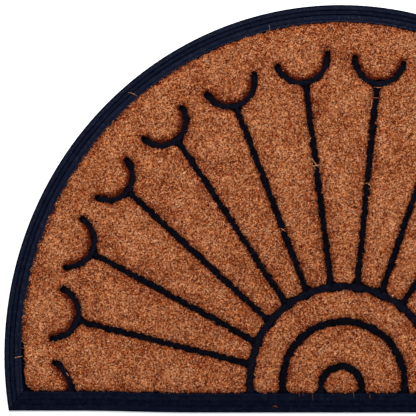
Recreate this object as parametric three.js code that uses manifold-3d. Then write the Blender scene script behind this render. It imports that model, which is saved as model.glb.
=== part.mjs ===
// A half round coir doormat: a moulded rubber base whose raised lines draw a sunburst, and four pads
// of coir pile pressed between those lines.
// Millimetres, +Z up. The origin is under the middle of the mat, X runs along the straight edge and
// +Y points to the top of the arc.

import * as THREE from 'three';
import { LoftGeometry } from 'three/addons/geometries/LoftGeometry.js';
import { mergeVertices } from 'three/addons/utils/BufferGeometryUtils.js';
import Module from 'manifold-3d';

const wasm = await Module();
wasm.setup();

// Outline: the upper part of an ellipse, cut off by the straight edge.
const matWidth = 762;
const matDepth = 461;
const arcRise = 397;
const straightY = -matDepth / 2;
const arcCentreY = matDepth / 2 - arcRise;

// Rubber base: a thin sheet with a ribbed border that climbs from the rim to the pile. The grooves
// between its ribs are given by their distance from the edge.
const sheetThickness = 3;
const arcBorder = 20.5;
const straightBorder = 23;
const rimHeight = 2.6;
const rimChamfer = 0.8;
const grooves = [6, 11.2, 16.9];
const ribEdge = 0.9;
const grooveDepth = 1.2;
const borderTop = 8.5;

// Raised lines of the sunburst.
const lineTop = 8.2;
const lineRoot = 1.5;
const lineChamfer = 0.8;
const spokeWidth = 7.2;
const ringWidth = 8.6;
const cupWidth = 8.4;

// Half rings: sideways place and height over the straight edge of each centre.
const rings = {
  outer: { across: 2.7, up: 36.8, radius: 105.3 },
  middle: { across: 3, up: 34.1, radius: 68.7 },
  inner: { across: 0.1, up: 29.5, radius: 22.6 },
};

// Spokes of the left half, from the straight edge up to the top of the arc: the centre of the cup at the
// outer end, and the direction in degrees in which the foot stands on the outer ring.
const leftSpokes = [
  { across: -325.3, up: 110.7, foot: 170.4 },
  { across: -307.4, up: 193.3, foot: 156.7 },
  { across: -261, up: 266.4, foot: 141.7 },
  { across: -202.1, up: 330.9, foot: 127 },
  { across: -127.1, up: 372, foot: 112.4 },
  { across: -43.8, up: 399.8, foot: 97.2 },
];
// The right half mirrors the cups about the mat's axis, and the feet about this direction of the ring.
const ringMiddle = 89.3;
const cupRadius = 26.7;
const cupHalfSpan = THREE.MathUtils.degToRad(84);

// The cup in each corner has no spoke: a wider arc climbs from the straight border and curls outwards.
const cornerCup = { across: -341.5, up: 27, radius: 34, span: THREE.MathUtils.degToRad(57) };
const cornerCupFoot = THREE.MathUtils.degToRad(20);

// Coir pile, seated just off the rubber round it.
const pileTop = 12;
const pileChamfer = 1.6;
const seatGap = 0.3;
const sideGap = 0.4;

// How far a facet may lie inside the round stretch that it stands for.
const facetError = 0.2;

const rubber = new THREE.MeshStandardMaterial({ color: 0x12151f, roughness: 0.62, metalness: 0 });
const coir = new THREE.MeshStandardMaterial({ color: 0xa8683f, roughness: 0.95, metalness: 0 });

// An even number of steps for a round stretch.
function stepsFor(radius, span) {
  return 2 * Math.ceil(span / Math.acos(1 - facetError / radius) / 4);
}

// Turns a closed geometry into a solid that can be joined and cut. Triangles that have shrunk to a
// line, as at the axis of a lathe, are left out.
function solidOf(geometry) {
  const bare = new THREE.BufferGeometry();
  bare.setAttribute('position', geometry.attributes.position);
  bare.setIndex(geometry.index);
  const merged = mergeVertices(bare);
  const corners = merged.index.array;
  const kept = [];
  for (let first = 0; first < corners.length; first += 3) {
    const triangle = Array.from(corners.slice(first, first + 3));
    if (new Set(triangle).size === 3) {
      kept.push(...triangle);
    }
  }
  const vertProperties = new Float32Array(merged.attributes.position.array);
  return new wasm.Manifold(new wasm.Mesh({ numProp: 3, vertProperties, triVerts: new Uint32Array(kept) }));
}

function meshOf(name, solid, material) {
  const { numProp, vertProperties, triVerts } = solid.getMesh();
  const geometry = new THREE.BufferGeometry();
  geometry.setAttribute('position', new THREE.BufferAttribute(vertProperties, numProp));
  geometry.setIndex(new THREE.BufferAttribute(triVerts, 1));
  geometry.computeVertexNormals();
  const mesh = new THREE.Mesh(geometry, material.clone());
  mesh.name = name;
  return mesh;
}

// A point of the ellipse, moved inwards along its normal.
function arcPoint(angle, inset) {
  const halfWidth = matWidth / 2;
  const normal = new THREE.Vector2(Math.cos(angle) / halfWidth, Math.sin(angle) / arcRise).normalize();
  const x = halfWidth * Math.cos(angle) - inset * normal.x;
  const y = arcCentreY + arcRise * Math.sin(angle) - inset * normal.y;
  return new THREE.Vector2(x, y);
}

// The angle at which the drawn-in ellipse meets the drawn-in straight edge, found by halving.
function cornerAngle(inset) {
  const edgeY = straightY + inset * straightBorder / arcBorder;
  let low = -Math.PI / 4;
  let high = Math.PI / 4;
  for (let halving = 0; halving < 50; halving += 1) {
    const middle = (low + high) / 2;
    if (arcPoint(middle, inset).y < edgeY) {
      low = middle;
    } else {
      high = middle;
    }
  }
  return high;
}

// The half round outline at an inset and a height, anticlockwise from the right-hand corner.
function outlineAt({ inset, height }) {
  const corner = cornerAngle(inset);
  const steps = stepsFor(matWidth / 2, Math.PI);
  const points = [];
  for (let step = 0; step <= steps; step += 1) {
    const angle = corner + (Math.PI - 2 * corner) * step / steps;
    const { x, y } = arcPoint(angle, inset);
    points.push(new THREE.Vector3(x, y, height));
  }
  return points;
}

// A solid whose outline follows a profile of insets and heights, from its underside to its top.
function halfRound(profile) {
  return solidOf(new LoftGeometry(profile.map(outlineAt), { capStart: true, capEnd: true }));
}

// The border's profile: a low rim, then ribs that climb inwards with a groove between each two.
function borderProfile() {
  const crestAt = (inset) => THREE.MathUtils.mapLinear(
    inset, rimChamfer, arcBorder, rimHeight + rimChamfer, borderTop);
  return [
    { inset: 0, height: 0 },
    { inset: 0, height: rimHeight },
    { inset: rimChamfer, height: crestAt(rimChamfer) },
    ...grooves.flatMap((groove) => [
      { inset: groove - ribEdge, height: crestAt(groove - ribEdge) },
      { inset: groove, height: crestAt(groove) - grooveDepth },
      { inset: groove + ribEdge, height: crestAt(groove + ribEdge) },
    ]),
    { inset: arcBorder, height: borderTop },
  ];
}

// A point given by its sideways place and its height over the straight edge.
function pointAt({ across, up }) {
  return new THREE.Vector2(across, straightY + up);
}

// A point on a circle, by its direction from the centre.
function pointAround(centre, radius, angle) {
  return new THREE.Vector2(Math.cos(angle), Math.sin(angle)).multiplyScalar(radius).add(centre);
}

// A profile of radii and heights turned about a ring's upright axis.
function turned(profile, ring, radius) {
  const { x, y } = pointAt(ring);
  const geometry = new THREE.LatheGeometry(profile, stepsFor(radius, 2 * Math.PI));
  geometry.rotateX(Math.PI / 2);
  geometry.translate(x, y, 0);
  return solidOf(geometry);
}

// A disc with a vertical side that then leans by `lean` over the pile's chamfer and beyond its top.
function disc(ring, radius, lean) {
  const over = pileTop + pileChamfer;
  const profile = [
    new THREE.Vector2(0, 0),
    new THREE.Vector2(radius, 0),
    new THREE.Vector2(radius, pileTop - pileChamfer),
    new THREE.Vector2(radius + 2 * lean, over),
    new THREE.Vector2(0, over),
  ];
  return turned(profile, ring, radius);
}

// The raised bar of a ring.
function ringLine(ring) {
  const { radius } = ring;
  const half = ringWidth / 2;
  const section = [
    new THREE.Vector2(radius - half, lineRoot),
    new THREE.Vector2(radius + half, lineRoot),
    new THREE.Vector2(radius + half, lineTop - lineChamfer),
    new THREE.Vector2(radius + half - lineChamfer, lineTop),
    new THREE.Vector2(radius - half + lineChamfer, lineTop),
    new THREE.Vector2(radius - half, lineTop - lineChamfer),
    new THREE.Vector2(radius - half, lineRoot),
  ];
  return turned(section, ring, radius);
}

// A section for a line that is swept along a flat route. The sweep puts a section's x downwards.
function sweptSection(corners) {
  return new THREE.Shape(corners.map(({ side, height }) => new THREE.Vector2(-height, side)));
}

function rubberSection(width) {
  const half = width / 2;
  return sweptSection([
    { side: -half, height: lineRoot },
    { side: -half, height: lineTop - lineChamfer },
    { side: lineChamfer - half, height: lineTop },
    { side: half - lineChamfer, height: lineTop },
    { side: half, height: lineTop - lineChamfer },
    { side: half, height: lineRoot },
  ]);
}

// The channel that a line needs in the pile: straight walls that open out over the pile's chamfer.
function channelSection(width) {
  const half = width / 2 + sideGap;
  const over = pileTop + pileChamfer;
  return sweptSection([
    { side: -half, height: lineRoot },
    { side: -half, height: pileTop - pileChamfer },
    { side: -half - 2 * pileChamfer, height: over },
    { side: half + 2 * pileChamfer, height: over },
    { side: half, height: pileTop - pileChamfer },
    { side: half, height: lineRoot },
  ]);
}

class ArcRoute extends THREE.Curve {
  constructor(centre, radius, start, span) {
    super();
    this.centre = centre;
    this.radius = radius;
    this.start = start;
    this.span = span;
  }

  getPoint(t, target = new THREE.Vector3()) {
    const { x, y } = pointAround(this.centre, this.radius, this.start + this.span * t);
    return target.set(x, y, 0);
  }
}

function sweep(section, route, steps) {
  return solidOf(new THREE.ExtrudeGeometry(section, { extrudePath: route, steps }));
}

// The spokes of both halves, each with its cup's centre and its foot on the outer ring's mid-line.
function spokeList() {
  const rightSpokes = leftSpokes.map(({ across, up, foot }) => (
    { across: -across, up, foot: 2 * ringMiddle - foot }));
  return [...leftSpokes, ...rightSpokes].map((spoke) => ({
    centre: pointAt(spoke),
    foot: pointAround(pointAt(rings.outer), rings.outer.radius, THREE.MathUtils.degToRad(spoke.foot)),
  }));
}

// The arc of a cup, whose back is turned to the middle of the mat's arc, with `extra` millimetres at
// each tip.
function cupRoute({ centre }, extra) {
  const back = new THREE.Vector2(0, arcCentreY).sub(centre).angle();
  const half = cupHalfSpan + extra / cupRadius;
  return new ArcRoute(centre, cupRadius, back - half, 2 * half);
}

// The arc of a corner's cup. Its foot runs on into the straight border.
function cornerCupRoute(side, extra) {
  const { across, up, radius, span } = cornerCup;
  const whole = cornerCupFoot + span + extra / radius;
  const start = side > 0 ? -cornerCupFoot : Math.PI + cornerCupFoot;
  return new ArcRoute(pointAt({ across: side * across, up }), radius, start, side * whole);
}

// A spoke from the mid-line of its cup to the mid-line of the outer ring.
function spokeRoute({ centre, foot }) {
  const start = pointAround(centre, cupRadius, foot.clone().sub(centre).angle());
  return new THREE.LineCurve3(new THREE.Vector3(start.x, start.y, 0), new THREE.Vector3(foot.x, foot.y, 0));
}

// All cups and spokes as swept solids, with sections and tips as the caller wants them.
function cupsAndSpokes(sectionOf, extra) {
  const spokes = spokeList();
  const cupSection = sectionOf(cupWidth);
  const spokeSection = sectionOf(spokeWidth);
  const cupSteps = stepsFor(cupRadius, 2 * cupHalfSpan);
  const cornerSteps = stepsFor(cornerCup.radius, cornerCupFoot + cornerCup.span);
  return [
    ...spokes.map((spoke) => sweep(cupSection, cupRoute(spoke, extra), cupSteps)),
    ...[1, -1].map((side) => sweep(cupSection, cornerCupRoute(side, extra), cornerSteps)),
    ...spokes.map((spoke) => sweep(spokeSection, spokeRoute(spoke), 1)),
  ];
}

function joined(solids) {
  return solids.reduce((sum, solid) => sum.add(solid));
}

// The pocket for the pile, with a chamfered mouth that runs on past the border's top.
function pocket() {
  return halfRound([
    { inset: arcBorder, height: sheetThickness },
    { inset: arcBorder, height: borderTop - lineChamfer },
    { inset: arcBorder - 2 * lineChamfer, height: borderTop + lineChamfer },
  ]);
}

function rubberBase() {
  const lines = joined([...Object.values(rings).map(ringLine), ...cupsAndSpokes(rubberSection, 0)]);
  // The lines end inside the border's last rib.
  const inset = arcBorder - ribEdge;
  const reach = halfRound([{ inset, height: 0 }, { inset, height: borderTop }]);
  return halfRound(borderProfile()).subtract(pocket()).add(lines.intersect(reach));
}

function pileSlab() {
  const inset = arcBorder + sideGap;
  return halfRound([
    { inset, height: sheetThickness + seatGap },
    { inset, height: pileTop - pileChamfer },
    { inset: inset + pileChamfer, height: pileTop },
  ]);
}

// What a ring's line takes out of the pile: everything inside its outer wall, or what is left within it.
const ringCutter = (ring) => disc(ring, ring.radius + ringWidth / 2 + sideGap, pileChamfer);
const ringInside = (ring) => disc(ring, ring.radius - ringWidth / 2 - sideGap, -pileChamfer);

const slab = pileSlab();
const channels = joined(cupsAndSpokes(channelSection, sideGap));

const group = new THREE.Group();
group.add(meshOf('rubber_base', rubberBase(), rubber));
group.add(meshOf('coir_field', slab.subtract(channels).subtract(ringCutter(rings.outer)), coir));
group.add(meshOf(
  'coir_outer_arch', slab.intersect(ringInside(rings.outer)).subtract(ringCutter(rings.middle)), coir));
group.add(meshOf(
  'coir_middle_arch', slab.intersect(ringInside(rings.middle)).subtract(ringCutter(rings.inner)), coir));
group.add(meshOf('coir_centre', slab.intersect(ringInside(rings.inner)), coir));

export default group;
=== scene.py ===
import math

import bpy
import numpy as np
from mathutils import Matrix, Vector
from mathutils.geometry import delaunay_2d_cdt


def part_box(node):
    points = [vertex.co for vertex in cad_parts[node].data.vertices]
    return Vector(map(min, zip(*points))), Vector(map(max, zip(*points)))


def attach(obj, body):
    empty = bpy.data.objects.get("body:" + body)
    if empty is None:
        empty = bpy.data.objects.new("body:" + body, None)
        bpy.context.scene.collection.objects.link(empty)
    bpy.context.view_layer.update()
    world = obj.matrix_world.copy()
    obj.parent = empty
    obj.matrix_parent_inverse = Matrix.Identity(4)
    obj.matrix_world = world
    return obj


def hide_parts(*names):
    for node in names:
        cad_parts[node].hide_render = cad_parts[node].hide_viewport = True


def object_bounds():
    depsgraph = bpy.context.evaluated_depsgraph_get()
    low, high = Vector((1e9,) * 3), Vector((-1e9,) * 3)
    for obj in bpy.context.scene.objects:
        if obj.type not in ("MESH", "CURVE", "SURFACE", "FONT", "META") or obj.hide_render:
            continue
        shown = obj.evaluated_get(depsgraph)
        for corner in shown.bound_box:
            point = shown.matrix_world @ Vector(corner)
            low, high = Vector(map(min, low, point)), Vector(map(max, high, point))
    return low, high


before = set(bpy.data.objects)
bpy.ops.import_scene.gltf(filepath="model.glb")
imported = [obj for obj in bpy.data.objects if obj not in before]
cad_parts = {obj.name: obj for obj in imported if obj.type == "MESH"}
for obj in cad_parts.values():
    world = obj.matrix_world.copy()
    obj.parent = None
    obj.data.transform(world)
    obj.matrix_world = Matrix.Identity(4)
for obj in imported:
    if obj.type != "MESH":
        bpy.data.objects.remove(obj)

cad_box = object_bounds()

# The view. The mat lies flat on a white floor and is seen from straight above, with its right part past
# the frame's edge. The light is soft and even, with a wide lamp beyond the top of the arc.
FRAME_CENTRE = (-0.1503, 0.0005)
FRAME_WIDTH = 0.4709
FRAME_LEVEL = 0.004
CAMERA_HEIGHT = 5.0

camera = bpy.data.objects.new("camera", bpy.data.cameras.new("camera"))
camera.location = (*FRAME_CENTRE, CAMERA_HEIGHT)
camera.data.lens = camera.data.sensor_width * (CAMERA_HEIGHT - FRAME_LEVEL) / FRAME_WIDTH
bpy.context.collection.objects.link(camera)
bpy.context.scene.camera = camera
bpy.context.scene.view_settings.view_transform = "Standard"

LAMP_DISTANCE = 2.4
LAMP_SIZE = 1.1
LAMP_POWER = 66
SKY_STRENGTH = 1.22
SKY_COLOUR = (0.95, 0.97, 1, 1)
LAMP_DIRECTION = Vector((-0.12, 0.6, 0.8)).normalized()
lamp = bpy.data.objects.new("lamp", bpy.data.lights.new("lamp", "AREA"))
lamp.data.size = LAMP_SIZE
lamp.data.energy = LAMP_POWER
lamp.location = LAMP_DIRECTION * LAMP_DISTANCE
lamp.rotation_euler = LAMP_DIRECTION.to_track_quat("Z", "Y").to_euler()
bpy.context.collection.objects.link(lamp)

sky = bpy.data.worlds.new("sky")
sky.use_nodes = True
sky.node_tree.nodes["Background"].inputs["Color"].default_value = SKY_COLOUR
sky.node_tree.nodes["Background"].inputs["Strength"].default_value = SKY_STRENGTH
bpy.context.scene.world = sky


# The floor. A plain white studio floor that the mat lies on, wider than any view. It is the first piece,
# so what makes every finish and every mesh stands here.
class Value:
    """A node's output that arithmetic can be done with: each operator adds a Math node."""

    def __init__(self, finish, socket):
        self.finish = finish
        self.socket = socket

    def __add__(self, other):
        return self.finish.maths("ADD", self, other)

    def __sub__(self, other):
        return self.finish.maths("SUBTRACT", self, other)

    def __rsub__(self, other):
        return self.finish.maths("SUBTRACT", other, self)

    def __mul__(self, other):
        return self.finish.maths("MULTIPLY", self, other)

    __radd__ = __add__
    __rmul__ = __mul__


class Finish:
    """A material and its shader. Numbers that are the same all over are set on the shader's own sockets."""

    def __init__(self, name, **constants):
        self.material = bpy.data.materials.new(name)
        self.material.use_nodes = True
        self.tree = self.material.node_tree
        self.shader = self.tree.nodes["Principled BSDF"]
        for socket, number in constants.items():
            self.shader.inputs[socket.replace("_", " ")].default_value = number

    def node(self, kind, settings, sockets, output=0):
        """Adds a node, sets its settings, then gives its sockets their values or links. The stops of a
        colour ramp are a setting too."""
        node = self.tree.nodes.new("ShaderNode" + kind)
        for name, setting in settings.items():
            if name == "stops":
                self.set_stops(node.color_ramp.elements, setting)
            else:
                setattr(node, name, setting)
        self.feed(node, sockets)
        return Value(self, node.outputs[output])

    def set_stops(self, elements, stops):
        """A ramp starts with two stops, and each further one is added."""
        for _ in stops[len(elements):]:
            elements.new(1)
        for element, (position, colour) in zip(elements, stops):
            element.position = position
            element.color = (*colour, 1)

    def feed(self, node, sockets):
        """Gives a node's sockets their values or links."""
        for name, given in sockets.items():
            if isinstance(given, Value):
                self.tree.links.new(given.socket, node.inputs[name])
            else:
                node.inputs[name].default_value = given

    def maths(self, operation, first, second):
        return self.node("Math", {"operation": operation}, {0: first, 1: second})

    def place(self):
        return self.node("TexCoord", {}, {}, "Object")

    def noise(self, size, detail, distortion=0.0):
        """Noise from 0 to 1 with lumps of about `size` metres."""
        sockets = {"Vector": self.place(), "Scale": 1 / size, "Detail": detail, "Distortion": distortion}
        return self.node("TexNoise", {}, sockets)

    def between(self, value, low, high):
        """Takes `low` to 0 and `high` to 1, and holds the value there past them."""
        return self.node("MapRange", {}, {"Value": value, "From Min": low, "From Max": high})

    def mix(self, share, first, second, blend="MIX"):
        """Two colours mixed, which are a Mix node's sockets 6 and 7, with its output 2."""
        first, second = [(*c, 1) if isinstance(c, tuple) else c for c in (first, second)]
        settings = {"data_type": "RGBA", "blend_type": blend}
        return self.node("Mix", settings, {0: share, 6: first, 7: second}, 2)

    def bump(self, height, distance):
        """A normal from a height of 0 to 1, which stands for `distance` metres."""
        return self.node("Bump", {}, {"Height": height, "Distance": distance})


CROOK_HEIGHT = 0.0011
CROOK_BALANCE = 0.35
CROOK_MIDDLE = -0.233
CROOK_STEP = 0.04
CROOK_REACH = 0.08


def crook(points):
    """The mat doesn't lie quite straight: its straight edge is pushed up a little at the left, and down by
    less at the right. The push is a smooth step (a hyperbolic tangent) along the edge, and fades away
    from the edge as a bell curve."""
    x, y, z = points.T
    step = CROOK_HEIGHT * (CROOK_BALANCE - np.tanh((x - CROOK_MIDDLE) / CROOK_STEP))
    return np.stack([x, y + step * np.exp(-((y - cad_box[0].y) / CROOK_REACH) ** 2), z], axis=-1)


def new_piece(name, finish, points, *faces):
    """A piece from an array of points and arrays of faces, each array with its own number of corners."""
    points = crook(points)
    mesh = bpy.data.meshes.new(name)
    corners = np.concatenate([group.ravel() for group in faces]).astype(np.int32)
    counts = np.concatenate([np.full(len(group), group.shape[1]) for group in faces])
    mesh.vertices.add(len(points))
    mesh.vertices.foreach_set("co", np.ascontiguousarray(points, np.float32).ravel())
    mesh.loops.add(len(corners))
    mesh.loops.foreach_set("vertex_index", corners)
    mesh.polygons.add(len(counts))
    mesh.polygons.foreach_set("loop_start", (np.cumsum(counts) - counts).astype(np.int32))
    mesh.update(calc_edges=True)
    mesh.shade_smooth()
    mesh.materials.append(finish.material)
    piece = bpy.data.objects.new(name, mesh)
    bpy.context.collection.objects.link(piece)
    return piece


FLOOR_REACH = 6.0
floor_finish = Finish("white floor", Base_Color=(0.9, 0.9, 0.9, 1), Roughness=0.9)
floor_corners = np.array([(-1, -1, 0), (1, -1, 0), (1, 1, 0), (-1, 1, 0)]) * FLOOR_REACH
new_piece("floor", floor_finish, floor_corners, np.array([[0, 1, 2, 3]]))

# The tray. One moulding of navy black rubber: a thin sheet with a border that climbs inwards over four
# round ribs to the pile's edge. The arc's ribs and the straight edge's meet in a mitre at each corner.
# Widths and insets are the arc's, and on the straight edge they are stretched to its wider border.
RUBBER_LOW, RUBBER_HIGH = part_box("rubber_base")
HALF_WIDTH = 0.381
ARC_RISE = 0.397
ARC_Y = RUBBER_HIGH.y - ARC_RISE
STRAIGHT_Y = RUBBER_LOW.y
ARC_BORDER = 0.0205
STRAIGHT_BORDER = 0.023
SHEET_TOP = 0.003
RIM_HEIGHT = 0.0026
RIM_CURVE = np.array([(0, -0.0004), (0.00006, 0.0003), (0.0003, 0.0007), (0.0008, 0.0009)])
BORDER_TOP = 0.0085
POCKET_ROUND = 0.0004
POCKET_DROP = 0.0005
GROOVES = np.array([0.006, 0.0112, 0.0169])
GROOVE_DEPTH = 0.0014
GROOVE_SHARES = (1, 1, 1, 0.45, 1)
STRAIGHT_GROOVES = 0.35
RIB_STEPS = 9
RIB_POWER = 6
# Each rib's share of lightening: part dust, part painted light on how the lamp falls on it.
RIB_DUST_AND_LIGHT = (1.2, 0.7, 1.2, 1.6)
# The straight edge keeps this share of it: painted shade, as it faces away from the lamp.
STRAIGHT_PAINTED_SHADE = 0.42
# None within this margin of the pocket: a painted shadow of the pile on the border.
PAINTED_SHADOW_MARGIN = 0.0012
MITRE_DEPTH = 0.0012
MITRE_SHARE = 0.001
ARC_STEPS = 440
STRAIGHT_STEPS = 120
HALVINGS = 40
TRAY_CREASE = math.radians(34)


def arc_points(angle, inset):
    """Points of the mat's ellipse, each moved inwards along its normal."""
    across = np.cos(angle) / HALF_WIDTH
    up = np.sin(angle) / ARC_RISE
    share = inset / np.hypot(across, up)
    x = HALF_WIDTH * np.cos(angle) - share * across
    y = ARC_Y + ARC_RISE * np.sin(angle) - share * up
    return x, y


def corner_angle(inset):
    """The angle at which the drawn-in ellipse meets the drawn-in straight edge, found by halving."""
    low = np.full_like(inset, -math.pi / 4)
    high = -low
    edge = STRAIGHT_Y + inset * STRAIGHT_BORDER / ARC_BORDER
    for _ in range(HALVINGS):
        middle = (low + high) / 2
        below = arc_points(middle, inset)[1] < edge
        low = np.where(below, middle, low)
        high = np.where(below, high, middle)
    return high


def shares(steps):
    """Even shares of a side from 0 to 1, and one more close to each corner, where the mitre's cut ends."""
    return np.unique(np.concatenate([np.linspace(0, 1, steps + 1), [MITRE_SHARE, 1 - MITRE_SHARE]]))


def outline(inset):
    """The half round outline at each inset: along the arc from corner to corner, then straight back."""
    inset = inset[:, None]
    corner = corner_angle(inset)
    angle = corner + (math.pi - 2 * corner) * shares(ARC_STEPS)
    arc = np.stack(arc_points(angle, inset), axis=-1)
    straight = arc[:, -1:] + (arc[:, :1] - arc[:, -1:]) * shares(STRAIGHT_STEPS)[1:-1, None]
    return np.concatenate([arc, straight], axis=1)


def loft(rings):
    """Points and faces of a form that runs through closed rings of points, with a flat face at each end."""
    count, around, _ = rings.shape
    index = np.arange(count * around).reshape(count, around)
    beside = np.roll(index, -1, axis=1)
    sides = np.stack([index[:-1], beside[:-1], beside[1:], index[1:]], axis=-1).reshape(-1, 4)
    return rings.reshape(-1, 3), sides, index[:1, ::-1], index[-1:]


def tray_profile():
    """Insets, heights and dips from the rim's foot over the ribs to the pocket's floor. The height climbs
    evenly, and the dip is a steep power of the distance from the middle of a rib. The rim's curve has a
    row for each point, its inset and how far it is over the rim's height. Its last is the ribs' start."""
    rim_inset, rim_height = RIM_CURVE[:-1].T
    ribs_start, ribs_height = RIM_CURVE[-1]
    ribs_height += RIM_HEIGHT
    inset = [np.array([0, *rim_inset])]
    height = [np.array([0, *(RIM_HEIGHT + rim_height)])]
    dip = [np.zeros(len(RIM_CURVE))]
    edges = np.array([ribs_start, *GROOVES, ARC_BORDER - POCKET_ROUND])
    share = np.linspace(0, 1, RIB_STEPS, endpoint=False)
    for rib, (start, end) in enumerate(zip(edges[:-1], edges[1:])):
        along = start + (end - start) * share
        inset.append(along)
        height.append(ribs_height + (BORDER_TOP - ribs_height) * along / ARC_BORDER)
        groove = np.where(share < 0.5, *GROOVE_SHARES[rib:rib + 2])
        dip.append(GROOVE_DEPTH * groove * np.abs(2 * share - 1) ** RIB_POWER)
    inset.append(np.array([ARC_BORDER - POCKET_ROUND, ARC_BORDER, ARC_BORDER]))
    height.append(np.array([BORDER_TOP, BORDER_TOP - POCKET_DROP, SHEET_TOP]))
    dip.append(np.zeros(3))
    return [np.concatenate(part) for part in (inset, height, dip)]


def tray_surface():
    """The profile carried round the outline. The straight edge's grooves are shallower than the arc's,
    and a narrow cut runs down the mitre at each corner, from the rim to the pocket's wall."""
    inset, height, dip = tray_profile()
    flat = outline(inset)
    corner = len(shares(ARC_STEPS)) - 1
    groove = np.ones(flat.shape[1])
    groove[corner + 1:] = STRAIGHT_GROOVES
    cut = np.zeros((len(inset), flat.shape[1]))
    cut[len(RIM_CURVE):-2, [0, corner]] = MITRE_DEPTH
    level = height[:, None] - dip[:, None] * groove - cut
    return np.concatenate([flat, level[..., None]], axis=-1)


def tray_dust_and_painted_light():
    """How much each point of the surface is lightened, part dust and part painted light, by rib: the rib's
    share, times 1 less the root of the dip over the groove's depth, so the grooves get painted shade. The
    straight edge keeps only a share, painted shade as it faces away from the lamp. The strip next to the
    pocket gets none, a painted shadow of the pile, and nor do the pocket and the rim's foot."""
    inset, height, dip = tray_profile()
    share = np.array(RIB_DUST_AND_LIGHT)[np.searchsorted(GROOVES, inset)] * (inset < ARC_BORDER - PAINTED_SHADOW_MARGIN)
    crest = share * (1 - np.sqrt(dip / GROOVE_DEPTH))
    crest[:2] = 0
    along = np.ones(outline(inset[:1]).shape[1])
    along[len(shares(ARC_STEPS)):] = STRAIGHT_PAINTED_SHADE
    return crest[:, None] * along


SPECK_COLOUR = (0.026, 0.027, 0.033)


def rubber_finish(name, gloss, dark, dusty_and_lit):
    """Matt rubber: fine pebbled grain, and dust that lightens it in clouds and in small specks. A point
    attribute lightens it more and adds specks, from 0 in a groove to about 1 on top of a rib: part dust,
    part painted light on the tops, with painted shade in the grooves and in shadowed places."""
    rubber = Finish(name, Specular_IOR_Level=gloss)
    cloud = rubber.between(rubber.noise(size=0.006, detail=6.0), low=0.36, high=0.7)
    grain = rubber.noise(size=0.0007, detail=3.0)
    specks = rubber.between(rubber.noise(size=0.002, detail=5.0), low=0.56, high=0.74)
    # Part dust, part painted light on the ribs' tops, and painted shade where it is low.
    crest = rubber.node("Attribute", {"attribute_name": "crest"}, {}, "Fac")
    colour = rubber.mix(cloud * 0.4 + crest * 0.5, dark, dusty_and_lit)
    rubber.feed(rubber.shader, {
        "Base Color": rubber.mix(specks * (0.14 + crest * crest * 0.36), colour, SPECK_COLOUR),
        "Roughness": 0.55 + cloud * 0.12 + specks * 0.1,
        "Normal": rubber.bump(grain, distance=0.00012),
    })
    return rubber


border_rubber = rubber_finish("border rubber", gloss=0.008, dark=(0.0002, 0.0005, 0.0031),
                              dusty_and_lit=(0.0042, 0.0058, 0.0135))
tray = new_piece("rubber_tray", border_rubber, *loft(tray_surface()))
# Dust and painted light on the tray, with painted shade in the grooves, on the straight edge and by the
# pocket.
crest = tray.data.attributes.new("crest", "FLOAT", "POINT")
crest.data.foreach_set("value", tray_dust_and_painted_light().astype(np.float32).ravel())
tray.data.set_sharp_from_angle(angle=TRAY_CREASE)
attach(tray, "root")
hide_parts("rubber_base")

# The raised lines. They are of one moulding with the tray: three half rings round the middle of the
# straight edge, and straight spokes that each end in a cup that opens towards the arc.
SPOKE_WIDTH = 0.0072
RING_WIDTH = 0.0086
CUP_WIDTH = 0.0062
CUP_SWELL = 0.0018
LINE_TOP = 0.0076
LINE_ROOT = 0.0015
SECTION_ROUND = 0.2
SECTION_STEPS = 15
TIP_BLUNT = 0.0004
CUP_RADIUS = 0.0282
CUP_HALF_SPAN = 84
MIRROR_ANGLE = 89.3
LINE_STEP = 0.0022
SPOKE_STEP = 0.0044
LINE_CREASE = math.radians(50)
# How much each line is lightened, part dust and part painted light: the wide outer ring is painted as lit.
LINE_DUST_AND_LIGHT = {"outer": 0.6, "middle": 0.05, "inner": 0.05, "cup": 0.6, "spoke": 0.05}
LINE_END = 0.0207
# In the tables "up" is a centre's height over the straight edge. A spoke's "foot" is its angle on the
# outer ring, and what follows says how its cup and its start are out of line. Angles are in degrees.
RINGS = {
    "outer": {"x": 0.0027, "up": 0.0368, "radius": 0.1053},
    "middle": {"x": 0.003, "up": 0.0341, "radius": 0.0687},
    "inner": {"x": 0.0001, "up": 0.0295, "radius": 0.0226},
}
LEFT_SPOKES = [
    {"x": -0.3253, "up": 0.1107, "foot": 170.4, "move": (-0.0007, 0.0016), "aside": -0.0008,
     "radius": 0.0292, "turn": -4, "span": 78},
    {"x": -0.3074, "up": 0.1933, "foot": 156.7, "move": (-0.001, 0.0002), "aside": 0.0009,
     "radius": 0.0297, "turn": 4, "span": 75},
    {"x": -0.261, "up": 0.2664, "foot": 141.7, "move": (-0.0014, 0.0004), "aside": 0.001,
     "radius": 0.0272, "turn": 1, "span": 79},
    {"x": -0.2021, "up": 0.3309, "foot": 127.0, "move": (-0.0012, -0.0014), "aside": 0.0014,
     "radius": 0.0283, "turn": 3, "span": 82},
    {"x": -0.1271, "up": 0.372, "foot": 112.4, "move": (0.0005, 0.0022), "aside": -0.0015,
     "radius": 0.0291, "turn": 1, "span": 81},
    {"x": -0.0438, "up": 0.3998, "foot": 97.2, "move": (-0.0012, 0.0022), "aside": 0.0003,
     "radius": 0.0297, "turn": 7, "span": 82},
]
CORNER_CUP = {"x": -0.3424, "up": 0.0234, "radius": 0.037, "foot": -4, "tip": 58}


def centre_of(row, side=1):
    """The centre that a row gives, or on side -1 its mirror image."""
    return np.array([side * row["x"], STRAIGHT_Y + row["up"]])


def on_circle(centre, radius, angle):
    """Points on a circle, from the cosine and the sine of their angles."""
    return centre + radius * np.stack([np.cos(angle), np.sin(angle)], axis=-1)


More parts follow.
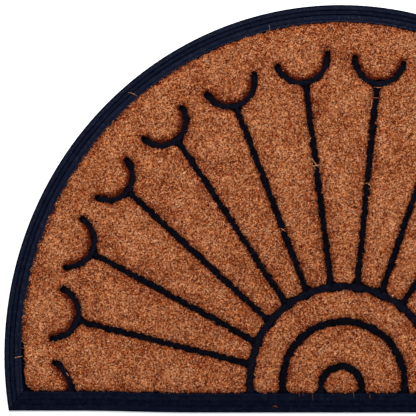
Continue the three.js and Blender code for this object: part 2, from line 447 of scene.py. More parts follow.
def spoke_list():
    """Each spoke's cup as its centre, radius, where its back faces and half its span, then the spoke's start
    at the cup and its foot on the outer ring. A cup opens away from the ellipse's centre. The right half
    mirrors the left half's centres and feet, with every cup alike and in line."""
    spokes = []
    ring = RINGS["outer"]
    for row in LEFT_SPOKES:
        for side, angle in ((1, row["foot"]), (-1, 2 * MIRROR_ANGLE - row["foot"])):
            cup = centre_of(row, side)
            foot = on_circle(centre_of(ring), ring["radius"], math.radians(angle))
            run = (foot - cup) / np.hypot(*(foot - cup))
            back = math.atan2(ARC_Y - cup[1], -cup[0])
            if side == 1:
                start = cup + run * row["radius"] + row["aside"] * np.array([-run[1], run[0]])
                back += math.radians(row["turn"])
                bowl = (cup + row["move"], row["radius"], back, math.radians(row["span"]))
            else:
                start = cup + run * CUP_RADIUS
                bowl = (cup, CUP_RADIUS, back, math.radians(CUP_HALF_SPAN))
            spokes.append((bowl, start, foot))
    return spokes


def bowl_list():
    """Every cup's arc. At each corner of the mat stands half a cup without a spoke."""
    bowls = [bowl for bowl, _, _ in SPOKES]
    middle = math.radians(CORNER_CUP["tip"] + CORNER_CUP["foot"]) / 2
    half_span = math.radians(CORNER_CUP["tip"] - CORNER_CUP["foot"]) / 2
    for side, back in ((1, middle), (-1, math.pi - middle)):
        bowls.append((centre_of(CORNER_CUP, side), CORNER_CUP["radius"], back, half_span))
    return bowls


def arc_path(centre, radius, middle, half_span):
    """Points along an arc, by the angle from its middle."""
    steps = 2 + int(2 * half_span * radius / LINE_STEP)
    return on_circle(centre, radius, middle + np.linspace(-half_span, half_span, steps))


def line_paths():
    """Every raised line's mid-line, width and lightening, part dust and part painted light. The rings end
    inside the straight border, LINE_END up. A cup widens from its back to its tips by a square, and its
    lightening fades by the same, painted shade at the tips."""
    lines = []
    for name, ring in RINGS.items():
        past = math.asin((ring["up"] - LINE_END) / ring["radius"])
        path = arc_path(centre_of(ring), ring["radius"], math.pi / 2, math.pi / 2 + past)
        lines.append((path, RING_WIDTH, LINE_DUST_AND_LIGHT[name]))
    for bowl in BOWLS:
        path = arc_path(*bowl)
        from_back = np.linspace(-1, 1, len(path)) ** 2
        lines.append((path, CUP_WIDTH + CUP_SWELL * from_back, LINE_DUST_AND_LIGHT["cup"] * (1 - from_back)))
    for _, start, foot in SPOKES:
        share = np.linspace(0, 1, int(np.hypot(*(foot - start)) / SPOKE_STEP))[:, None]
        lines.append((start + (foot - start) * share, SPOKE_WIDTH, LINE_DUST_AND_LIGHT["spoke"]))
    return lines


def bar(path, width):
    """A bar along a path. Its section is half a superellipse, from the powers of a turn's cosine and sine,
    and its ends narrow to a half round tip."""
    forward = np.gradient(path, axis=0)
    forward /= np.hypot(*forward.T)[:, None]
    left = np.stack([-forward[:, 1], forward[:, 0]], axis=-1)
    run = np.concatenate([[0], np.cumsum(np.hypot(*np.diff(path, axis=0).T))])
    from_end = np.minimum(run, run[-1] - run) + TIP_BLUNT
    half = width / 2 * np.sqrt(1 - np.clip(1 - 2 * from_end / width, 0, 1) ** 2)
    turn = np.linspace(0, math.pi, SECTION_STEPS)
    side = np.sign(np.cos(turn)) * np.abs(np.cos(turn)) ** SECTION_ROUND
    height = LINE_ROOT + (LINE_TOP - LINE_ROOT) * np.abs(np.sin(turn)) ** SECTION_ROUND
    flat = path[:, None] + left[:, None] * (half[:, None] * side)[..., None]
    return np.concatenate([flat, np.broadcast_to(height[:, None], (*flat.shape[:2], 1))], axis=-1)


SPOKES = spoke_list()
BOWLS = bowl_list()
LINES = line_paths()
line_lofts = [loft(bar(path, width)) for path, width, _ in LINES]
line_counts = np.cumsum([0] + [len(points) for points, *_ in line_lofts])
line_points = np.concatenate([points for points, *_ in line_lofts])
line_sides, line_starts, line_ends = [
    np.concatenate([faces[group] + first for faces, first in zip(line_lofts, line_counts)])
    for group in (1, 2, 3)]
# The lines' rubber is a darker copy of the border's, the same moulding: painted shade, as they lie deep in
# the pile.
line_rubber_painted_shade = rubber_finish("line rubber with painted shade", gloss=0.012, dark=(0.0002, 0.0002, 0.0008),
                            dusty_and_lit=(0.0034, 0.0036, 0.0088))
raised_lines = new_piece("rubber_lines", line_rubber_painted_shade, line_points, line_sides, line_starts, line_ends)
# Dust and painted light on the lines, fading to painted shade at the cups' tips.
line_dust_and_light = raised_lines.data.attributes.new("crest", "FLOAT", "POINT")
dust_and_light_along = np.concatenate([np.broadcast_to(dust_and_light, len(path)) for path, _, dust_and_light in LINES])
line_dust_and_light.data.foreach_set("value", np.repeat(dust_and_light_along, SECTION_STEPS).astype(np.float32))
raised_lines.data.set_sharp_from_angle(angle=LINE_CREASE)
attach(raised_lines, "root")
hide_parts("rubber_base")

# The coir pads. Coconut fibre pile, pressed into the tray between the lines: its top is lumpy, and it
# rounds down steeply at every edge. The four pads are the field and the three beds inside the rings.
PILE_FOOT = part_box("coir_field")[0].z
PILE_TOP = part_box("coir_field")[1].z
SIDE_GAP = 0.0002
CELL = 0.002
PAD_FILLET = 0.006
SPOKE_SKIP = 0.005
CORNER_FILLET = 0.012
LOW_START = ARC_Y + 0.02
LOW_GAP = 0.0024
LOW_REACH = 0.026
FOOT_INSET = 0.0006
SHOULDER = 0.0065
SHOULDER_DROP = 0.0026
SINK = 0.0009
CUP_SLOPE = 0.0066
CUP_FALL = 0.0016
TIP_FADE = 0.5
EDGE_CALM = 0.6
ROUND_END = 0.98
OVERHANG_REACH = 0.004
SIDE_MARGIN = 0.15
LOW_FADE = 0.03
LOW_BACK = 0.6
LOW_BACK_MOST = 2
SNAP_REACH = 0.6
LEAST_SLOPE = 0.5
NET_WITH_HOLES = 3
NET_TOLERANCE = 1e-7
PAD_CREASE = math.radians(70)
GRID_X = np.arange(-HALF_WIDTH, HALF_WIDTH + CELL, CELL)
GRID_Y = np.arange(STRAIGHT_Y, RUBBER_HIGH.y + CELL, CELL)
LUMPS = [
    {"size": 0.045, "height": 0.0002, "seed": 3},
    {"size": 0.012, "height": 0.00018, "seed": 4},
    {"size": 0.005, "height": 0.0002, "seed": 5},
]
WAVER = [
    {"size": 0.012, "height": 0.0004, "seed": 6},
    {"size": 0.006, "height": 0.0004, "seed": 7},
]


def to_segment(x, y, start, end):
    """Distance to a straight line between two points."""
    run = end - start
    share = np.clip(((x - start[0]) * run[0] + (y - start[1]) * run[1]) / (run @ run), 0, 1)
    return np.hypot(x - start[0] - share * run[0], y - start[1] - share * run[1])


def to_arc(x, y, centre, radius, middle, half_span):
    """Distance to an arc, to its circle within its span and past that to the nearer tip, and how far
    along from the arc's middle to a tip that is, from 0 to 1."""
    reach = np.hypot(x - centre[0], y - centre[1])
    turn = np.arctan2(y - centre[1], x - centre[0]) - middle
    turn = (turn + math.pi) % (2 * math.pi) - math.pi
    past = np.clip(np.abs(turn) - half_span, 0, math.pi)
    tip = np.sqrt(np.maximum(reach**2 + radius**2 - 2 * reach * radius * np.cos(past), 0))
    return np.where(past > 0, tip, np.abs(reach - radius)), np.clip(np.abs(turn) / half_span, 0, 1)


def ring_reach(x, y, ring):
    """How far outside a ring's mid-line a point lies."""
    return np.hypot(x - ring["x"], y - STRAIGHT_Y - ring["up"]) - ring["radius"]


def arc_gap(x, y):
    """Distance in from the arc's border, from the ellipse's equation: its value over its slope's length."""
    level = np.hypot(x / HALF_WIDTH, (y - ARC_Y) / ARC_RISE)
    slope = np.hypot(x / HALF_WIDTH**2, (y - ARC_Y) / ARC_RISE**2) / np.maximum(level, 1e-6)
    return (1 - level) / slope - ARC_BORDER


def fillet(first, second, radius):
    """The lesser of two gaps, but rounded where both are less than the radius: what each lacks of it is
    taken as one side of a right angle."""
    lack = np.hypot(np.clip(radius - first, 0, None), np.clip(radius - second, 0, None))
    return np.where(lack > 0, radius - lack, np.minimum(first, second))


def gaps(x, y):
    """Distances from the edge of every piece of rubber that the pile meets. From the mat's widest place
    down, the pile stands a little back from the arc's border."""
    low = LOW_GAP * np.clip((LOW_START - y) / LOW_REACH, 0, 1)
    yield fillet(arc_gap(x, y) - low, y - STRAIGHT_Y - STRAIGHT_BORDER, CORNER_FILLET)
    for ring in RINGS.values():
        yield np.abs(ring_reach(x, y, ring)) - RING_WIDTH / 2
    for bowl in BOWLS:
        gap, along = to_arc(x, y, *bowl)
        yield gap - (CUP_WIDTH + CUP_SWELL * along**2) / 2
    for _, start, foot in SPOKES:
        yield to_segment(x, y, start + (foot - start) * SPOKE_SKIP, foot) - SPOKE_WIDTH / 2


def clearance(x, y, overhang=0):
    """Distance from the rubber, above 0 where there is pile: the least of all gaps, but rounded where two
    of them meet, by taking what each lacks of the fillet's radius as the sides of a right angle. The
    edge wavers a little. Loose fibres hang out over the arc's border, by the square of how far towards
    the mat's sides they are, but low down they stand back from it. Both end OVERHANG_REACH inside."""
    least = np.full(x.shape, np.inf)
    lack = np.zeros(x.shape)
    for gap in gaps(x, y):
        least = np.minimum(least, gap)
        lack += np.clip(PAD_FILLET - gap, 0, None) ** 2
    clear = np.where(lack > 0, PAD_FILLET - np.sqrt(lack), least)
    if overhang:
        side = np.clip((x / HALF_WIDTH) ** 2 - SIDE_MARGIN, 0, 1)
        low = np.clip((LOW_START - y) / LOW_FADE + LOW_BACK, 0, LOW_BACK_MOST)
        clear += overhang * (side - low) * np.clip(1 - arc_gap(x, y) / OVERHANG_REACH, 0, 1)
    return clear - SIDE_GAP + on_grid(PILE_WAVER, x, y)


def cup_slope(x, y):
    """Where the tuft inside a cup falls away towards the cup, from 0 at the fall's top to 1 at the cup: an
    even ramp, times another one that takes it away past the cup's tips."""
    slope = np.zeros(x.shape)
    for centre, radius, back, half_span in BOWLS:
        gap = radius - CUP_WIDTH / 2 - np.hypot(x - centre[0], y - centre[1])
        turn = (np.arctan2(y - centre[1], x - centre[0]) - back + math.pi) % (2 * math.pi) - math.pi
        ramp = np.clip(1 - gap / CUP_SLOPE, 0, 1) * (gap > -CUP_WIDTH / 2)
        slope += ramp * np.clip((half_span - np.abs(turn)) / TIP_FADE + 0.5, 0, 1)
    return slope


def lumps(size, height, seed):
    """Random lumps on the whole grid: white noise with only the waves of about one length let through. A
    wave's weight is `size` over its length, times a bell curve of that."""
    shape = (len(GRID_Y), len(GRID_X))
    white = np.fft.rfft2(np.random.default_rng(seed).standard_normal(shape))
    wave = np.hypot(np.fft.fftfreq(shape[0], CELL)[:, None], np.fft.rfftfreq(shape[1], CELL)) * size
    field = np.fft.irfft2(white * wave * np.exp(-wave**2), s=shape)
    return height * field / field.std()


def on_grid(field, x, y):
    """A grid's values at any points, blended between the four nodes round each. Points past the grid are
    held just inside it."""
    column = np.clip((x - GRID_X[0]) / CELL, 0, len(GRID_X) - 1.001)
    row = np.clip((y - GRID_Y[0]) / CELL, 0, len(GRID_Y) - 1.001)
    c, r = column.astype(int), row.astype(int)
    across, up = column - c, row - r
    low = field[r, c] * (1 - across) + field[r, c + 1] * across
    high = field[r + 1, c] * (1 - across) + field[r + 1, c + 1] * across
    return low * (1 - up) + high * up


PILE_LUMPS = sum(lumps(**row) for row in LUMPS)
PILE_WAVER = sum(lumps(**row) for row in WAVER)


def pile_height(x, y, clear):
    """The pile's top: level but for its lumps, which are calmer at an edge, and the cups' dips. At an edge
    it rounds down, half like a parabola and half like a quarter ellipse that stops short of upright."""
    near = 1 - np.clip(clear / SHOULDER, 0, 1)
    round_off = SHOULDER_DROP * (0.5 * (1 - np.sqrt(1 - near**2 * ROUND_END)) + 0.5 * near**2)
    level = PILE_TOP - SINK + on_grid(PILE_LUMPS, x, y) * (1 - near * EDGE_CALM)
    return level - round_off - CUP_FALL * cup_slope(x, y)


def outer_edges(faces):
    """The directed edges that only one face has."""
    edges = np.concatenate([
        np.stack([group, np.roll(group, -1, axis=1)], axis=-1).reshape(-1, 2) for group in faces])
    span = edges.max() + 1
    return edges[~np.isin(edges[:, 0] * span + edges[:, 1], edges[:, 1] * span + edges[:, 0])]


def pad_mesh(inside):
    """A pad's top on the grid, with the nodes beside its edge drawn onto it, a wall below the edge and a
    flat underside across the wall's foot: a Delaunay net, which keeps the foot's points in order. A node
    is drawn down the slope of its distance to the edge, by that distance over the slope. `inside` picks
    the pad's nodes."""
    x, y = np.meshgrid(GRID_X, GRID_Y)
    clear = clearance(x, y)
    smooth = clear - on_grid(PILE_WAVER, x, y)
    slope_y, slope_x = np.gradient(clear, CELL)
    steep = np.maximum(np.hypot(slope_x, slope_y), LEAST_SLOPE) ** 2
    move = np.where(np.abs(clear) < CELL * SNAP_REACH, clear, 0)
    x, y = x - move * slope_x / steep, y - move * slope_y / steep
    clear = np.where(move != 0, 0, clear)
    node = np.arange(x.size).reshape(x.shape)
    cells = np.stack([node[:-1, :-1], node[:-1, 1:], node[1:, 1:], node[1:, :-1]], axis=-1).reshape(-1, 4)
    held = ((clear >= 0) & inside(x, y)).ravel()[cells]
    quads = cells[held.all(axis=1)]
    three = held.sum(axis=1) == 3
    missing = np.argmin(held[three], axis=1)
    corners = (missing[:, None] + np.array([1, 2, 3])) % 4
    triangles = np.take_along_axis(cells[three], corners, axis=1)
    edge = outer_edges([quads, triangles])
    rim = np.unique(edge)
    used = np.unique(np.concatenate([quads.ravel(), triangles.ravel()]))
    top = np.stack([x, y, pile_height(x, y, clear)], axis=-1).reshape(-1, 3)[used]
    smooth_y, smooth_x = np.gradient(smooth, CELL)
    inwards = np.stack([smooth_x, smooth_y], axis=-1).reshape(-1, 2)[rim]
    inwards *= FOOT_INSET / np.linalg.norm(inwards, axis=-1, keepdims=True)
    foot = np.stack([x.ravel()[rim] + inwards[:, 0], y.ravel()[rim] + inwards[:, 1],
                     np.full(len(rim), PILE_FOOT)], axis=-1)
    new, below = (np.full(x.size, -1) for _ in range(2))
    new[used] = np.arange(len(used))
    below[rim] = len(used) + np.arange(len(rim))
    wall = np.stack([new[edge[:, 1]], new[edge[:, 0]], below[edge[:, 0]], below[edge[:, 1]]], axis=-1)
    flat = foot[:, :2].tolist()
    around = (below[edge] - len(used)).tolist()
    net = delaunay_2d_cdt(flat, around, [], NET_WITH_HOLES, NET_TOLERANCE)
    base = np.array(net[2])[:, ::-1] + len(used)
    return np.concatenate([top, foot]), new[quads], new[triangles], wall, base


# A pad's nodes are those between the rings that bound it.
def in_field(x, y):
    return ring_reach(x, y, RINGS["outer"]) > 0


def in_outer_arch(x, y):
    return (ring_reach(x, y, RINGS["outer"]) < 0) & (ring_reach(x, y, RINGS["middle"]) > 0)


def in_middle_arch(x, y):
    return (ring_reach(x, y, RINGS["middle"]) < 0) & (ring_reach(x, y, RINGS["inner"]) > 0)


def in_centre(x, y):
    return ring_reach(x, y, RINGS["inner"]) < 0


COIR_SHADES = [
    (0.0, (0.052, 0.0045, 0.0004)),
    (0.21, (0.15, 0.0265, 0.0045)),
    (0.36, (0.212, 0.0575, 0.0165)),
    (0.61, (0.354, 0.144, 0.062)),
    (0.84, (0.495, 0.25, 0.137)),
    (1.0, (0.61, 0.36, 0.228)),
]
COIR_RED = (1, 0.88, 0.68)
# Painted shade at the pile's edges, and painted shadow inside the cups.
PAINTED_EDGE_SHADES = [{"shade": 0.13, "reach": 0.0028}, {"shade": 0.08, "reach": 0.01}]
PAINTED_CUP_SHADE = 0.58
TONE_MIDDLE = 1.155
# The pads' tone follows their lumps: painted light on the tops, painted shade in the hollows.
PAINTED_LUMP_LIGHT_HEIGHT = 0.006
PAINTED_LUMP_LIGHT_MOST = 0.15


def painted_edge_shade(x, y, clear):
    """Painted shade: how much darker and redder the coir is painted at an edge, where it rounds down into the
    grooves: two falls with the distance, steep and slow, each an exponential, and more where it falls away
    inside a cup, a painted shadow on the tuft's slope."""
    clear = np.clip(clear, 0, None)
    falls = sum(fall["shade"] * np.exp(-clear / fall["reach"]) for fall in PAINTED_EDGE_SHADES)
    return falls + PAINTED_CUP_SHADE * cup_slope(x, y)


def coir_finish(name, offset):
    """Dull fibre. The attribute "tone", which carries painted light and shade, and an offset give its shade,
    broken up by grain, by small dark spots that are painted shade of pits in the pile, and by broad faint
    patches. Clouds of a redder hue are multiplied in. Gives also the grain."""
    coir = Finish(name, Specular_IOR_Level=0.08)
    grain = coir.noise(size=0.0017, detail=2.5, distortion=0.4)
    painted_pit_shade = coir.between(coir.noise(size=0.0027, detail=1.0), low=0.6, high=0.7)
    patches = coir.noise(size=0.024, detail=1.0) * 0.26 + coir.noise(size=0.009, detail=1.0) * 0.22
    tone = coir.node("Attribute", {"attribute_name": "tone"}, {}, "Fac")
    tone = tone + patches + grain * 1.75 - painted_pit_shade * 0.4 - TONE_MIDDLE + offset
    shade = coir.node("ValToRGB", {"stops": COIR_SHADES}, {"Fac": tone})
    red = coir.between(coir.noise(size=0.011, detail=3.0), low=0.3, high=0.7)
    coir.feed(coir.shader, {
        "Base Color": coir.mix(red, shade, COIR_RED, blend="MULTIPLY"),
        "Roughness": 0.8 + grain * 0.12,
    })
    return coir, grain


pile, pile_grain = coir_finish("coir pile", offset=0.43)
pile.feed(pile.shader, {"Normal": pile.bump(pile_grain, distance=0.0009)})


def pad(name, inside):
    """One coir pad, in place of its plain solid. Gives also its width and length, and the area of its
    underside: half the sum of the cross products of one corner and the next."""
    points, *faces = pad_mesh(inside)
    piece = new_piece(name + "_pile", pile, points, *faces)
    x, y = points[:, 0], points[:, 1]
    # Painted light and shade: lighter on the lumps' tops, darker in their hollows, and painted shade at the
    # edges.
    lump_light_and_shade = on_grid(PILE_LUMPS, x, y) / PAINTED_LUMP_LIGHT_HEIGHT
    shade = np.clip(lump_light_and_shade, -PAINTED_LUMP_LIGHT_MOST, PAINTED_LUMP_LIGHT_MOST) - painted_edge_shade(x, y, clearance(x, y))
    tone = piece.data.attributes.new("tone", "FLOAT", "POINT")
    tone.data.foreach_set("value", shade.astype(np.float32))
    piece.data.set_sharp_from_angle(angle=PAD_CREASE)
    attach(piece, "root")
    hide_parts(name)
    base = points[faces[-1]][..., :2]
    after = np.roll(base, -1, axis=1)
    area = abs((base[..., 0] * after[..., 1] - base[..., 1] * after[..., 0]).sum()) / 2
    return piece, np.ptp(base.reshape(-1, 2), axis=0), area


field, field_size, field_area = pad("coir_field", in_field)
outer_arch, outer_size, outer_area = pad("coir_outer_arch", in_outer_arch)
middle_arch, middle_size, middle_area = pad("coir_middle_arch", in_middle_arch)
centre, _, _ = pad("coir_centre", in_centre)

# The fibres. The pile's cut ends are bent over and matted, so its top is a tangle of short curved
# fibres from dark brown to straw. Near an edge they lean out a little way over the rubber.
WHOLE_PILE = 1.0
# Most kinds are strewn over the whole pile, and two only in a strip along its edges, as wide as their
# reach. A tone is from about 0, dark, to 1, light, and its spread is how much it varies.
FIBRES = [
    {"name": "coir_dark_fibres", "count": 30000, "length": 0.0038, "width": 0.0008, "lift": 0.0005,
     "rings": 1, "tone": 0.14, "spread": 0.2, "seed": 11, "reach": WHOLE_PILE},
    {"name": "coir_brown_fibres", "count": 32000, "length": 0.0038, "width": 0.0008, "lift": 0.0005,
     "rings": 1, "tone": 0.5, "spread": 0.26, "seed": 12, "reach": WHOLE_PILE},
    {"name": "coir_tan_fibres", "count": 32000, "length": 0.0038, "width": 0.0008, "lift": 0.0005,
     "rings": 1, "tone": 0.84, "spread": 0.2, "seed": 13, "reach": WHOLE_PILE},
    {"name": "coir_edge_fibres", "count": 19000, "length": 0.0046, "width": 0.00065, "lift": 0.0004,
     "rings": 1, "tone": 0.46, "spread": 0.22, "seed": 15, "reach": 0.0016},
    {"name": "coir_curly_fibres", "count": 3500, "length": 0.0075, "width": 0.00045, "lift": 0.0008,
     "rings": 3, "tone": 0.7, "spread": 0.15, "seed": 14, "reach": WHOLE_PILE},
    {"name": "coir_loose_hairs", "count": 700, "length": 0.0075, "width": 0.0003, "lift": 0.0003,
     "rings": 3, "tone": 0.5, "spread": 0.18, "seed": 16, "reach": 0.001},
]
OVERHANG = 0.0022
PILE_TRIES = 2
STRIP_TRIES = 40
ROOT_MARGIN = 0.0003
SLOPE_STEP = 0.0003
LEAN_REACH = 0.0035
LEAN_CHANCE = 0.7
LEAN_SPREAD = 0.5
EDGE_SHORTER = 0.35
LENGTH_RANGE = (0.6, 1.4)
WIDTH_RANGE = (0.7, 1.3)
ARCH_RANGE = (0.3, 1.5)
LOOSE_RANGE = (-0.8, 0.9)
BOW_MOST = 0.3
WAVE_MOST = 0.12
ROOT_SINK = 0.0008
DROOP = 0.3
FIBRE_REST = 0.0003
FIBRE_TAPER = 1.6
BAKE_MAP = "OFBake"
BAKE_MARGIN = 0.1

strand, _ = coir_finish("coir fibre", offset=0)


def in_pile(random, count, reach):
    """Random points of the pile, evenly spread, a little in from its edges, or else of a strip along the
    edges, from a little outside them."""
    whole = reach == WHOLE_PILE
    tries = count * (PILE_TRIES if whole else STRIP_TRIES)
    x = random.uniform(-HALF_WIDTH, HALF_WIDTH, tries)
    y = random.uniform(STRAIGHT_Y, RUBBER_HIGH.y, tries)
    clear = clearance(x, y, OVERHANG)
    least = ROOT_MARGIN if whole else -ROOT_MARGIN
    kept = np.flatnonzero((clear > least) & (clear < reach))[:count]
    return x[kept], y[kept]


def border_height(x, y):
    """The border's height at its inset, from the tray's profile, and 0 inside the border."""
    inset, height, _ = tray_profile()
    across = np.minimum(arc_gap(x, y) + ARC_BORDER, (y - STRAIGHT_Y) * ARC_BORDER / STRAIGHT_BORDER)
    return np.where(across < ARC_BORDER, np.interp(across, inset, height), 0)


def edge_lean(x, y, clear):
    """Which way is out over the nearest edge, and how near the edge is, from 0 inside to 1 on it."""
    slope_x = (clearance(x + SLOPE_STEP, y, OVERHANG) - clear) / SLOPE_STEP
    slope_y = (clearance(x, y + SLOPE_STEP, OVERHANG) - clear) / SLOPE_STEP
    near = np.clip(1 - clear / LEAN_REACH, 0, 1)
    return np.arctan2(-slope_y, -slope_x), near


def tubes(path, radius):
    """Three-sided tubes along many paths at once, each closed to a point at both ends. Gives the points,
    the end triangles and the side quads."""
    count, steps, _ = path.shape
    forward = np.gradient(path, axis=1)
    side = np.stack([-forward[..., 1], forward[..., 0], np.zeros(forward.shape[:2])], axis=-1)
    side /= np.linalg.norm(side, axis=-1, keepdims=True)
    up = np.cross(forward, side)
    up /= np.linalg.norm(up, axis=-1, keepdims=True)
    turn = np.radians([90, 210, 330])[:, None]
    spread = side[:, 1:-1, None] * np.cos(turn) + up[:, 1:-1, None] * np.sin(turn)
    rings = path[:, 1:-1, None] + spread * radius[..., None, None]
    points = np.concatenate([path[:, :1], rings.reshape(count, -1, 3), path[:, -1:]], axis=1)
    last = points.shape[1] - 1
    corner = np.arange(3)
    beside = (corner + 1) % 3
    start = np.stack([np.zeros(3, int), 1 + beside, 1 + corner], axis=-1)
    end = np.stack([np.full(3, last), last - 3 + corner, last - 3 + beside], axis=-1)
    ring = 1 + 3 * np.arange(steps - 3)[:, None]
    sides = np.stack([ring + corner, ring + beside, ring + beside + 3, ring + corner + 3], axis=-1)
    first = (np.arange(count) * points.shape[1])[:, None, None]
    ends = (np.concatenate([start, end])[None] + first).reshape(-1, 3)
    return points, ends, (sides.reshape(1, -1, 4) + first).reshape(-1, 4)


def fibre_piece(name, path, radius, tone):
    """Many fibres as one piece, each with its tone and its own small cell of the bake's map. All three
    sides of a fibre share the cell: along it by length, across it from one corner of the side to the next."""
    points, ends, sides = tubes(path, radius)
    count, each, _ = points.shape
    faces = [ends, sides] if len(sides) else [ends]
    piece = new_piece(name, strand, points.reshape(-1, 3), *faces)
    shades = piece.data.attributes.new("tone", "FLOAT", "POINT")
    shades.data.foreach_set("value", np.repeat(tone, each).astype(np.float32))
    columns = math.ceil(math.sqrt(count))
    steps = path.shape[1] - 1
    corner = np.concatenate([group.ravel() for group in faces])
    fibre, place = corner // each, corner % each
    along = np.where(place == 0, 0, np.where(place == each - 1, steps, (place + 2) // 3))
    turned = np.concatenate([
        np.tile([0.5, 1, 0] * 3 + [0.5, 0, 1] * 3, count),
        np.tile([0, 1, 1, 0], len(sides))])
    inner = 1 - 2 * BAKE_MARGIN
    u = (fibre % columns + BAKE_MARGIN + inner * along / steps) / columns
    v = (fibre // columns + BAKE_MARGIN + inner * turned) / columns
    map_layer = piece.data.uv_layers.new(name=BAKE_MAP)
    map_layer.data.foreach_set("uv", np.stack([u, v], axis=-1).astype(np.float32).ravel())
    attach(piece, "root")


def fibres(name, count, length, width, lift, rings, tone, spread, seed, reach):
    """Fibres strewn over the pile. A fibre is a straight run that is bowed sideways as a parabola and
    waved as a sine. It follows the pile's top, with one tip sunk in, the middle raised as a parabola and
    one tip loose. Past the pile's edge it droops, and it rests on the border."""
    random = np.random.default_rng(seed)
    x, y = in_pile(random, count, reach)
    count = len(x)
    clear = clearance(x, y, OVERHANG)
    outward, near = edge_lean(x, y, clear)
    # The fibre's own tone, less the painted shade near an edge.
    shade = tone + random.normal(0, spread, count) - painted_edge_shade(x, y, clear)
    turn = random.uniform(0, 2 * math.pi, count)
    leaning = random.uniform(0, 1, count) < near * LEAN_CHANCE
    turn = np.where(leaning, outward + random.normal(0, LEAN_SPREAD, count), turn)
    share = np.linspace(-0.5, 0.5, rings + 2)
    long = (length * random.uniform(*LENGTH_RANGE, count) * (1 - EDGE_SHORTER * near))[:, None]
    bow = random.uniform(-BOW_MOST, BOW_MOST, count)[:, None] * (1 - 4 * share**2)
    wave = random.uniform(-WAVE_MOST, WAVE_MOST, count)[:, None] * np.sin(2 * math.pi * share)
    run, aside = long * share, long * (bow + wave)
    cos, sin = np.cos(turn)[:, None], np.sin(turn)[:, None]
    px = x[:, None] + run * cos - aside * sin
    py = y[:, None] + run * sin + aside * cos
    clear = clearance(px, py)
    surface = pile_height(px, py, clear)
    arch = lift * random.uniform(*ARCH_RANGE, count)[:, None] * (1 - 4 * share**2)
    loose = random.uniform(*LOOSE_RANGE, count)[:, None] * lift
    offset = arch + np.where(share > 0, 2 * share * loose, 2 * share * ROOT_SINK)
    pz = surface + offset - np.clip(-clear, 0, None) * DROOP
    pz = np.maximum(pz, border_height(px, py) + FIBRE_REST)
    path = np.stack([px, py, pz], axis=-1)
    thick = width / 2 * random.uniform(*WIDTH_RANGE, count)[:, None]
    radius = thick * np.sqrt(1 - (FIBRE_TAPER * share[1:-1]) ** 2)
    fibre_piece(name, path, radius, shade)


for row in FIBRES:
    fibres(**row)

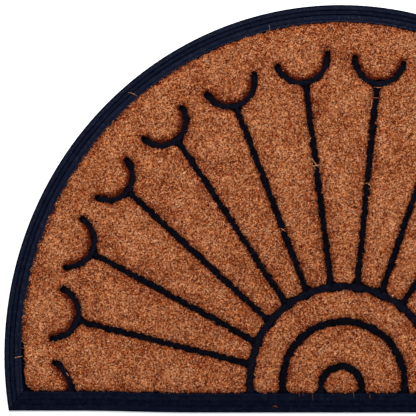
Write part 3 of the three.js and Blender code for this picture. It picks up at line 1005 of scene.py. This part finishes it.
# The stray fibres. A few long ones have worked loose and lie over the border, or bridge a raised line.
# Each is given by its start, a middle point that bends it, its end and its width, in millimetres.
STRAYS = [
    {"start": (-242.0, 130.7), "bend": (-236.3, 132.3), "end": (-229.2, 125.9), "tone": 0.62, "width": 0.6},
    {"start": (-81.2, 208.2), "bend": (-80.9, 203.1), "end": (-79.5, 198.0), "tone": 0.6, "width": 0.5},
    {"start": (-369.2, -170.2), "bend": (-365.4, -168.6), "end": (-359.7, -167.7), "tone": 0.9, "width": 0.7},
    {"start": (-68.2, -22.1), "bend": (-65.4, -24.4), "end": (-62.0, -26.1), "tone": 0.62, "width": 1.1},
    {"start": (-67.7, -25.5), "bend": (-64.3, -23.3), "end": (-62.0, -22.1), "tone": 0.5, "width": 0.9},
    {"start": (-33.7, 57.7), "bend": (-29.7, 51.4), "end": (-25.2, 46.3), "tone": 0.85, "width": 0.9},
    {"start": (-31.4, 47.5), "bend": (-26.9, 50.3), "end": (-22.4, 48.0), "tone": 0.75, "width": 0.9},
    {"start": (-36.0, 51.4), "bend": (-31.4, 49.2), "end": (-28.0, 43.5), "tone": 0.68, "width": 0.8},
    {"start": (26.9, 27.1), "bend": (29.7, 31.1), "end": (33.1, 24.8), "tone": 0.72, "width": 0.9},
    {"start": (30.8, 28.8), "bend": (34.8, 25.4), "end": (34.2, 20.9), "tone": 0.62, "width": 0.8},
    {"start": (37.1, 137.5), "bend": (42.1, 135.7), "end": (47.8, 137.5), "tone": 0.55, "width": 0.7},
    {"start": (34.8, 126.1), "bend": (39.3, 124.3), "end": (44.4, 125.0), "tone": 0.55, "width": 0.7},
    {"start": (35.9, 122.8), "bend": (33.7, 118.2), "end": (34.2, 113.1), "tone": 0.72, "width": 0.8},
    {"start": (-47.3, -204.4), "bend": (-47.7, -208.9), "end": (-46.7, -213.5), "tone": 0.45, "width": 0.4},
    {"start": (-42.8, -205.5), "bend": (-43.3, -208.9), "end": (-42.2, -212.3), "tone": 0.45, "width": 0.4},
    {"start": (13.8, -205.5), "bend": (14.7, -210.1), "end": (14.9, -214.6), "tone": 0.45, "width": 0.4},
    {"start": (33.1, -207.8), "bend": (32.5, -211.2), "end": (33.3, -214.6), "tone": 0.4, "width": 0.4},
    {"start": (-32.6, -207.8), "bend": (-31.9, -212.3), "end": (-31.4, -216.9), "tone": 0.4, "width": 0.4},
    {"start": (-77.3, -221.9), "bend": (-74.4, -223.6), "end": (-71.0, -224.2), "tone": 0.3, "width": 0.7},
    {"start": (-76.7, -224.8), "bend": (-74.4, -222.5), "end": (-72.2, -221.4), "tone": 0.3, "width": 0.6},
    {"start": (-310.5, -186.8), "bend": (-308.8, -188.5), "end": (-307.7, -190.8), "tone": 0.8, "width": 0.7},
]
STRAY_STEPS = 9
STRAY_TAPER = 1.7
BRIDGE_LEVEL = 0.0107
MILLIMETRE = 0.001


def stray_fibres():
    """Each stray is a parabola, blended from its three points. It lies on the border, and elsewhere level
    with the pile's top."""
    start, bend, end = [np.array([row[point] for row in STRAYS])[:, None] * MILLIMETRE
                        for point in ("start", "bend", "end")]
    share = np.linspace(0, 1, STRAY_STEPS)[:, None]
    flat = start * (1 - share) ** 2 + bend * 2 * share * (1 - share) + end * share**2
    border = border_height(flat[..., 0], flat[..., 1])
    level = np.where(border > 0, border + FIBRE_REST, BRIDGE_LEVEL)
    thick = np.array([row["width"] for row in STRAYS])[:, None] * MILLIMETRE / 2
    taper = np.sqrt(1 - (STRAY_TAPER * (share[1:-1, 0] - 0.5)) ** 2)
    tone = np.array([row["tone"] for row in STRAYS])
    fibre_piece("coir_stray_fibres", np.concatenate([flat, level[..., None]], axis=-1), thick * taper, tone)


stray_fibres()
